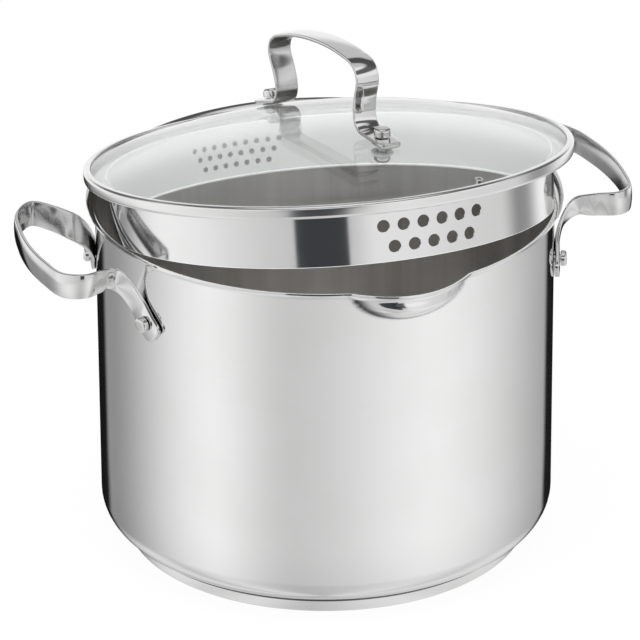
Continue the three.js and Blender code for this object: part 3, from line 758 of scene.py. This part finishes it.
# %% Bend a strap along stations
def smooth_between(points, share):
    """A point on the centripetal curve through the points, for a share from 0 to 1."""
    spans = len(points) - 1
    place = min(max(share, 0.0), 1.0) * spans
    index = min(int(place), spans - 1)
    here = place - index
    p1, p2 = points[index], points[index + 1]
    p0 = points[index - 1] if index > 0 else p1 * 2 - p2
    p3 = points[index + 2] if index + 2 <= spans else p2 * 2 - p1
    gaps = [math.sqrt((b - a).length) for a, b in ((p0, p1), (p1, p2), (p2, p3))]
    middle = gaps[1] if gaps[1] > 1e-4 else 1.0
    before = gaps[0] if gaps[0] > 1e-4 else middle
    after = gaps[2] if gaps[2] > 1e-4 else middle
    start = ((p1 - p0) / before - (p2 - p0) / (before + middle) + (p2 - p1) / middle) * middle
    end = ((p2 - p1) / middle - (p3 - p1) / (middle + after) + (p3 - p2) / after) * middle
    square, cube = here ** 2, here ** 3
    return (p1 + start * here + (p2 * 3 - p1 * 3 - start * 2 - end) * square
            + (p1 * 2 - p2 * 2 + start + end) * cube)


PATH_SAMPLES = 600
TIP_ROUNDING = 5.0
TIP_SHARE = 0.6
CROWN = 0.42


def bend_strap(name, stations, width, columns):
    """Make a straight strap and bend it along stations of (point, lean), in millimetres."""
    points = [point for point, _ in stations]
    leans = [lean for _, lean in stations]
    shares = [step / PATH_SAMPLES for step in range(PATH_SAMPLES + 1)]
    path = [smooth_between(points, share) for share in shares]
    run = [0.0]
    for first, second in zip(path, path[1:]):
        run.append(run[-1] + (second - first).length)
    length = run[-1]

    bpy.ops.object.select_all(action="DESELECT")
    bpy.ops.mesh.primitive_grid_add(x_subdivisions=columns, y_subdivisions=12, size=1)
    strap = bpy.context.object
    strap.name = strap.data.name = name
    strap.scale = (length * MM, width * MM, 1)
    bpy.ops.object.transform_apply(location=True, rotation=True, scale=True)
    for vertex in strap.data.vertices:
        to_tip = (length / 2) - abs(vertex.co.x) / MM
        if to_tip < TIP_ROUNDING:
            rounding = math.sqrt(max(0.0, 1 - ((TIP_ROUNDING - to_tip) / TIP_ROUNDING) ** 2))
            vertex.co.y *= TIP_SHARE + (1 - TIP_SHARE) * rounding
    thick = strap.modifiers.new("thickness", "SOLIDIFY")
    thick.thickness, thick.offset = STRAP_THICKNESS * MM, 0.0
    bpy.ops.object.modifier_apply(modifier=thick.name)
    for vertex in strap.data.vertices:
        vertex.co.z *= 1 - CROWN * (2 * vertex.co.y / (width * MM)) ** 2
    edges = strap.modifiers.new("edges", "BEVEL")
    edges.width, edges.segments = STRAP_EDGE * MM, 4
    edges.limit_method, edges.angle_limit = "ANGLE", math.radians(40)
    bpy.ops.object.modifier_apply(modifier=edges.name)

    # the inner face counts fully and the edges partly: the finish makes them duller, and darker as painted shade
    side = strap.data.attributes.new("inside", "FLOAT", "FACE")
    for face in strap.data.polygons:
        side.data[face.index].value = min(max(0.4 - 0.8 * face.normal.z, 0.0), 1.0)

    step = 0
    order = sorted(strap.data.vertices, key=lambda vertex: vertex.co.x)
    for vertex in order:
        distance = min(max(vertex.co.x / MM + length / 2, 0.0), length)
        while step < PATH_SAMPLES - 1 and run[step + 1] < distance:
            step += 1
        inner = (distance - run[step]) / (run[step + 1] - run[step])
        share = (step + inner) / PATH_SAMPLES
        ahead = smooth_between(points, share + 1e-4) - smooth_between(points, share - 1e-4)
        ahead.normalize()
        through = smooth_between(leans, share).cross(ahead).normalized()
        across = ahead.cross(through)
        point = smooth_between(points, share)
        vertex.co = (point + across * (vertex.co.y / MM) + through * (vertex.co.z / MM)) * MM
    return strap


print("straps can be bent")

# %% [markdown]
# ## Side handles
# A side handle is a flat loop that stands out level from the wall. Its two feet bend down and lie on the wall,
# leaning outwards, each held by one rivet. One half of the loop is given by stations, and the other half mirrors
# it. The left handle is a copy of the right one, turned halfway round the pot, with a mesh of its own.

# %% Bend the side handles
SIDE_STRAP = 13.7
# out from the wall, along it and below the rim in millimetres, and the lean in degrees
HALF_LOOP = [
    (0, 53.2, 43, 58),
    (0, RIVET_ALONG, RIVET_DROP, 54),
    (0, 39.4, 29.2, 48),
    (3.4, 34.2, 20.8, 41),
    (10.4, 32.6, 14.3, 28),
    (20.3, 36.2, 11, 14),
    (31.9, 38.6, 9.2, 4),
    (39, 30.7, 10.5, 0),
    (39.9, 16.5, 10.7, 0),
]
LOOP_MIDDLE = (40.2, 0, 10.8, 0)


def wall_station(out, along, drop, lean):
    """A station of the loop, and the way its upper edge leans along the wall."""
    angle = along / FOOT_SEAT
    reach = FOOT_SEAT + out
    tilt = math.copysign(math.radians(lean), along)
    point = Vector((reach * math.cos(angle), reach * math.sin(angle), RIM - drop))
    edge = Vector((-math.sin(angle) * math.sin(tilt), math.cos(angle) * math.sin(tilt), math.cos(tilt)))
    return point, edge


loop = [wall_station(*station) for station in HALF_LOOP]
loop.append(wall_station(*LOOP_MIDDLE))
loop += [wall_station(out, -along, drop, lean) for out, along, drop, lean in HALF_LOOP[::-1]]
right_loop = bend_strap("right_loop_handle", loop, SIDE_STRAP, 240)
drill(right_loop, [(rivet_place(0, end), RIVET_HOLE, 24, 24) for end in (-1, 1)])

only(right_loop)
bpy.ops.object.duplicate(linked=False)
left_loop = bpy.context.object
left_loop.name = left_loop.data.name = "left_loop_handle"
put(left_loop, turned("Z", 180))
for strap, node in ((right_loop, "side_handle_right"), (left_loop, "side_handle_left")):
    finish_piece(strap, strip_steel, "pot", [node])

# %% [markdown]
# ## Rivets
# Each foot is held by a rivet with a round button head outside and a flat head inside the pot. The rivet is turned
# once and copied to its four places.

# %% Turn and set the rivets
RIVET_SHANK, RIVET_HEAD, HEAD_HEIGHT = 2.3, 4.2, 3.2
TAIL_RADIUS, TAIL_HEIGHT = 4.5, 1.6
seat = SEAT_GAP + STRAP_THICKNESS + SEAT_GAP
tail = -SHEET - SEAT_GAP
rivet_section = [(0, tail - TAIL_HEIGHT), (TAIL_RADIUS * 0.6, tail - TAIL_HEIGHT)]
rivet_section += arc((TAIL_RADIUS * 0.75, tail - TAIL_HEIGHT * 0.6), TAIL_RADIUS * 0.25, -75, 0, 5)
rivet_section += [(TAIL_RADIUS, tail), (RIVET_SHANK, tail), (RIVET_SHANK, seat), (RIVET_HEAD - 0.3, seat)]
rivet_section += [(RIVET_HEAD, seat + 0.3), (RIVET_HEAD, seat + HEAD_HEIGHT * 0.5)]
rivet_section += arc((RIVET_HEAD - 1.4, seat + HEAD_HEIGHT * 0.55), 1.4, 8, 80, 6)
rivet_section += [(RIVET_HEAD * 0.4, seat + HEAD_HEIGHT * 0.985), (0, seat + HEAD_HEIGHT)]
for count, (name, side, end) in enumerate(RIVETS):
    if count == 0:
        first_rivet = turn("rivet_head_" + name, rivet_section, (360, 48))
        rivet = first_rivet
        plain_mesh = rivet.data.copy()
    else:
        only(first_rivet)
        bpy.ops.object.duplicate(linked=False)
        rivet = bpy.context.object
        rivet.name = "rivet_head_" + name
        rivet.data = plain_mesh.copy()
        rivet.data.name = rivet.name
    put(rivet, rivet_place(side, end))
    finish_piece(rivet, rivet_polish, "pot", ["rivet_" + name])
bpy.data.meshes.remove(plain_mesh)

# %% [markdown]
# ## Lid ring
# The ring is rolled from sheet into a channel that holds the edge of the glass and the flange of the skirt. It is
# turned about the lid's axis and then put in the lid's leaning place.

# %% Roll the ring
bend = math.radians(LIP_ANGLE)
RING_RADIUS = POT_RADIUS + LIP_BEND * (1 - math.cos(bend)) + LIP_EDGE + 2.57
RING_HEIGHT, RING_SHEET, RING_ROUNDING = 6.7, 1.0, 1.8
RING_INNER = RING_RADIUS - 3.7
SKIRT_RADIUS = POT_RADIUS - SHEET - 3.4
HOLE_CLEARANCE = 0.3

ring_outer = RING_RADIUS - RING_ROUNDING
inner_foot = SKIRT_RADIUS + HOLE_CLEARANCE
ring_points = [(inner_foot, 0)] + arc((ring_outer, RING_ROUNDING), RING_ROUNDING, -90, 0, 8)
ring_points += arc((ring_outer, RING_HEIGHT - RING_ROUNDING), RING_ROUNDING, 0, 90, 8)
ring_points += arc((RING_INNER + 0.5, RING_HEIGHT - 0.5), 0.5, 90, 180, 4)
ring_points += [(RING_INNER, RING_HEIGHT - RING_SHEET)]
inside_wall = RING_RADIUS - RING_SHEET
ring_points += [(inside_wall, RING_HEIGHT - RING_SHEET), (inside_wall, RING_SHEET), (inner_foot, RING_SHEET)]
ring = turn("rolled_ring", ring_section(ring_points), (360, 240))
put(ring, LID_LEAN)
finish_piece(ring, ring_polish, "lid_rim", ["lid_ring"])

# %% [markdown]
# ## Strainer skirt
# Below the ring hangs a band of polished sheet. Two fields of holes are punched through it, on opposite sides:
# two rows of large holes for pasta and three rows of small ones for rice. Each row is set half a step off the
# next. The band is turned with its flange and an inward hem, and then drilled with one Boolean cut for all the
# holes together. The cut leaves long faces between the holes, whose shading would ripple in a mirror finish. So the
# corners of the round wall get the normals of a true cylinder.

# %% Normals of a true round
def true_round(piece, axis_place):
    """Give the upright faces round an axis the normals of a cylinder."""
    mesh = piece.data
    to_axis = axis_place.inverted()
    turn_back = axis_place.to_3x3()
    normals = [Vector(corner.vector) for corner in mesh.corner_normals]
    for face in mesh.polygons:
        middle = to_axis @ face.center
        normal = to_axis.to_3x3() @ face.normal
        outward = normal.dot(Vector((middle.x, middle.y, 0)).normalized())
        if abs(outward) > 0.97:
            for corner in face.loop_indices:
                point = to_axis @ mesh.vertices[mesh.loops[corner].vertex_index].co
                radial = Vector((point.x, point.y, 0)).normalized()
                normals[corner] = turn_back @ (radial * math.copysign(1, outward))
    mesh.normals_split_custom_set([tuple(normal) for normal in normals])


print("rounds can be trued")

# %% Turn and punch the skirt
SKIRT_SHEET, SKIRT_HEIGHT = 0.8, 27.8
FLANGE = RING_RADIUS - RING_SHEET - 3 * SEAT_GAP
FLANGE_FOOT = RING_SHEET + SEAT_GAP
skirt_inner = SKIRT_RADIUS - SKIRT_SHEET
HEM = 0.8
hem_middle = HEM - SKIRT_HEIGHT
skirt_points = arc((skirt_inner, hem_middle), HEM, 90, 270, 10)
skirt_points += arc((SKIRT_RADIUS - 0.3, 0.3 - SKIRT_HEIGHT), 0.3, 270, 360, 4)
skirt_points += [(SKIRT_RADIUS, FLANGE_FOOT), (FLANGE, FLANGE_FOOT), (FLANGE, FLANGE_FOOT + SKIRT_SHEET)]
skirt_points += arc((skirt_inner + 1, FLANGE_FOOT + SKIRT_SHEET - 1), 1, 90, 180, 4)
skirt = turn("strainer_band", ring_section(skirt_points), (360, 288))

# rows of (count, depth below the ring), the hole's diameter, the step along a row and the side they face
HOLE_FIELDS = [
    ([(6, 9.04), (5, 19.97)], 6.6, 10.72, 0, 32),
    ([(9, 8.8), (8, 14.2), (7, 20.0)], 3.0, 6.42, 180, 20),
]
punches = []
for rows, diameter, pitch, facing, sides in HOLE_FIELDS:
    for count, depth in rows:
        for index in range(count):
            angle = facing + math.degrees((index - (count - 1) / 2) * pitch / SKIRT_RADIUS)
            place = turned("Z", angle) @ moved(SKIRT_RADIUS, 0, -depth) @ turned("Y", 90)
            punches.append((place, diameter / 2, 6, sides))
drill(skirt, punches)
put(skirt, LID_PLACE)
print(len(punches), "holes punched")


# %% Finish the skirt
def in_the_lid(middle, normal, outward):
    """The inner face of the band and its hem."""
    return outward < -0.3 or middle.z < 1 - SKIRT_HEIGHT


mark_faces(skirt, "inside", LID_LEAN, in_the_lid)
finish_piece(skirt, skirt_steel, "strainer_lid", ["strainer_skirt"])
true_round(skirt, LID_LEAN)

# %% [markdown]
# ## Glass
# The lid's window is a shallow dome of tempered glass, nearly 4 mm thick, with its edge ground flat so that the
# ring can hold it. It is turned as a full solid with both faces, because each of them mirrors a little.

# %% Turn the glass dome
GLASS, DOME = 3.7, 375.0
GLASS_FOOT = FLANGE_FOOT + SKIRT_SHEET + SEAT_GAP
GLASS_EDGE = RING_HEIGHT - RING_SHEET - SEAT_GAP
DOME_CENTRE = GLASS_EDGE - math.sqrt(DOME ** 2 - RING_INNER ** 2)
SCREW_REACH_OUT = 64.4
VENT_REACH, VENT_TURN = RING_INNER - 4.8, 13.2


def dome_height(reach, inward=0.0):
    return DOME_CENTRE + math.sqrt((DOME - inward) ** 2 - reach ** 2)


def on_dome(reach, facing):
    """A place on the dome's outer face, with Z pointing out of the glass."""
    tip = math.degrees(math.asin(reach / DOME))
    return LID_PLACE @ turned("Z", facing) @ moved(reach, 0, dome_height(reach)) @ turned("Y", tip)


foot_reach = math.sqrt((DOME - GLASS) ** 2 - (GLASS_FOOT - DOME_CENTRE) ** 2)
shares = [step / 24 for step in range(25)]
outer_face = [(share * RING_INNER, dome_height(share * RING_INNER)) for share in shares]
inner_face = [(share * foot_reach, dome_height(share * foot_reach, GLASS)) for share in shares]
glass_points = outer_face + [(FLANGE, GLASS_EDGE), (FLANGE, GLASS_FOOT)] + inner_face[::-1]
dome = turn("glass_dome", glass_points, (360, 192))
put(dome, LID_PLACE)
glass_holes = [(on_dome(SCREW_REACH_OUT, facing), 3.6, 16, 32) for facing in (0, 180)]
glass_holes.append((on_dome(VENT_REACH, VENT_TURN), 1.7, 16, 24))
drill(dome, glass_holes)
finish_piece(dome, lid_glass, "strainer_lid", ["lid_glass"])

# %% [markdown]
# ## Lid handle
# The lid's handle is a bow of the same strap. Its ends lie on the glass as pads, its legs lean inwards and then
# outwards, and its top is slightly crowned. It lies in one upright plane, so its edge never leans.

# %% Bend the bow
BOW_STRAP, PAD_LENGTH, BOW_RISE = 12.8, 10.6, 42.0
PAD_SEAT = SEAT_GAP + 0.6 + SEAT_GAP
knee = SCREW_REACH_OUT - 8
# inward from the knee and above it, from the foot of a leg to the top of the bow
HALF_BOW = [
    (6, 1.2), (9.6, 4.6), (10.6, 10), (8.6, 17.8), (4.6, 27.8),
    (6.6, 33.4), (12, 36.8), (19.6, 38.6), (30, 40.4), (42.4, 41.6),
]


def on_pad(reach):
    """The middle of the strap where it lies on the dome."""
    lift = 1 + (PAD_SEAT + STRAP_THICKNESS / 2) / DOME
    return reach * lift, DOME_CENTRE + (dome_height(reach) - DOME_CENTRE) * lift


knee_height = on_pad(knee)[1]
half_bow = [on_pad(SCREW_REACH_OUT + share * PAD_LENGTH) for share in (1, 0.5, 0)] + [on_pad(knee)]
half_bow += [(knee - inward, knee_height + rise) for inward, rise in HALF_BOW]
bow_points = half_bow + [(0, knee_height + BOW_RISE)] + [(-x, z) for x, z in half_bow[::-1]]
bow_stations = [(Vector((x, 0, z)), Vector((0, 1, 0))) for x, z in bow_points]
bow = bend_strap("bow_handle", bow_stations, BOW_STRAP, 260)
put(bow, LID_PLACE)
drill(bow, [(on_dome(SCREW_REACH_OUT, facing), 2.7, 24, 24) for facing in (0, 180)])
finish_piece(bow, strip_steel, "strainer_lid", ["lid_handle"])

# %% [markdown]
# ## Fixings of the lid
# A button-head screw goes through each pad, a thin gasket, the glass and a washer into a cap nut. A small hollow
# rivet near the ring lets out steam. These are turned once, and the copies are turned about the dome.

# %% Turn the fixings
SCREW, SCREW_HEAD, SCREW_HEAD_HEIGHT, SCREW_REACH = 2.4, 4.3, 4.4, 8.2
BORE = SCREW + HOLE_CLEARANCE
WASHER_TOP = -GLASS - SEAT_GAP
WASHER = 1.2
NUT_TOP = WASHER_TOP - WASHER - SEAT_GAP
NUT, NUT_HEIGHT = 4.2, 4.6
screw_seat = PAD_SEAT + STRAP_THICKNESS + SEAT_GAP
nut_foot = NUT_TOP - NUT_HEIGHT

screw_section = [(0, -SCREW_REACH), (SCREW - 0.4, -SCREW_REACH), (SCREW, 0.4 - SCREW_REACH), (SCREW, screw_seat)]
screw_section += [(SCREW_HEAD - 0.2, screw_seat), (SCREW_HEAD, screw_seat + 0.2)]
screw_shoulder = screw_seat + SCREW_HEAD_HEIGHT - 1.6
screw_section += arc((SCREW_HEAD - 1.6, screw_shoulder), 1.6, 0, 78, 8)
screw_section += [(SCREW_HEAD * 0.3, screw_seat + SCREW_HEAD_HEIGHT - 0.01), (0, screw_seat + SCREW_HEAD_HEIGHT)]
nut_section = [(0, nut_foot)]
nut_section += [
    (NUT * math.sin(math.radians(step)), nut_foot + NUT_HEIGHT * 0.5 * (1 - math.cos(math.radians(step))))
    for step in (15, 30, 45, 60, 75, 90)
]
nut_section += [(NUT, NUT_TOP - 0.3), (NUT - 0.3, NUT_TOP), (BORE, NUT_TOP)]
nut_section += [(BORE, -SCREW_REACH - HOLE_CLEARANCE), (0, -SCREW_REACH - HOLE_CLEARANCE)]


def washer_section(radius, low, thickness):
    """A flat ring with rounded outer edges."""
    high = low + thickness
    edge = thickness * 0.3
    return ring_section([(BORE, low), (radius - edge, low), (radius, low + edge), (radius, high - edge),
                         (radius - edge, high), (BORE, high)])


FIXINGS = [
    ("button_screw", screw_section, rivet_polish, "fixing_steel", "handle_screw"),
    ("pad_seal", washer_section(5.5, SEAT_GAP, 0.6), silicone, "silicone", "pad_gasket"),
    ("glass_seal", washer_section(6.0, WASHER_TOP - WASHER, WASHER), silicone, "silicone", "glass_washer"),
    ("cap_nut", nut_section, rivet_polish, "fixing_steel", "handle_nut"),
]
for name, section, finish, slot, node in FIXINGS:
    near = turn(name + "_near", section, (360, 48))
    only(near)
    bpy.ops.object.duplicate(linked=False)
    far = bpy.context.object
    far.name = far.data.name = name + "_far"
    for piece, facing, end in ((near, 0, "near"), (far, 180, "far")):
        put(piece, on_dome(SCREW_REACH_OUT, facing))
        finish_piece(piece, finish, "strainer_lid", [node + "_" + end])

# %% Turn the steam vent
VENT_BORE, VENT_TUBE, VENT_FLANGE, VENT_SHEET = 0.9, 1.4, 2.3, 0.5
vent_low = -GLASS - SEAT_GAP
vent_points = [(VENT_BORE, vent_low - VENT_SHEET), (VENT_FLANGE, vent_low - VENT_SHEET), (VENT_FLANGE, vent_low)]
vent_points += [(VENT_TUBE, vent_low), (VENT_TUBE, SEAT_GAP), (VENT_FLANGE, SEAT_GAP)]
vent_points += arc((VENT_FLANGE - VENT_SHEET, SEAT_GAP), VENT_SHEET, 15, 90, 5)
vent_points += arc((VENT_BORE + 0.3, SEAT_GAP + VENT_SHEET - 0.3), 0.3, 90, 180, 4)
vent = turn("steam_vent", ring_section(vent_points), (360, 40))
put(vent, on_dome(VENT_REACH, VENT_TURN))
finish_piece(vent, rivet_polish, "strainer_lid", ["vent_eyelet"])

# %% [markdown]
# ## Finish
# The view layer is brought up to date once every piece is in place.

# %% Bring the view layer up to date
bpy.context.view_layer.update()
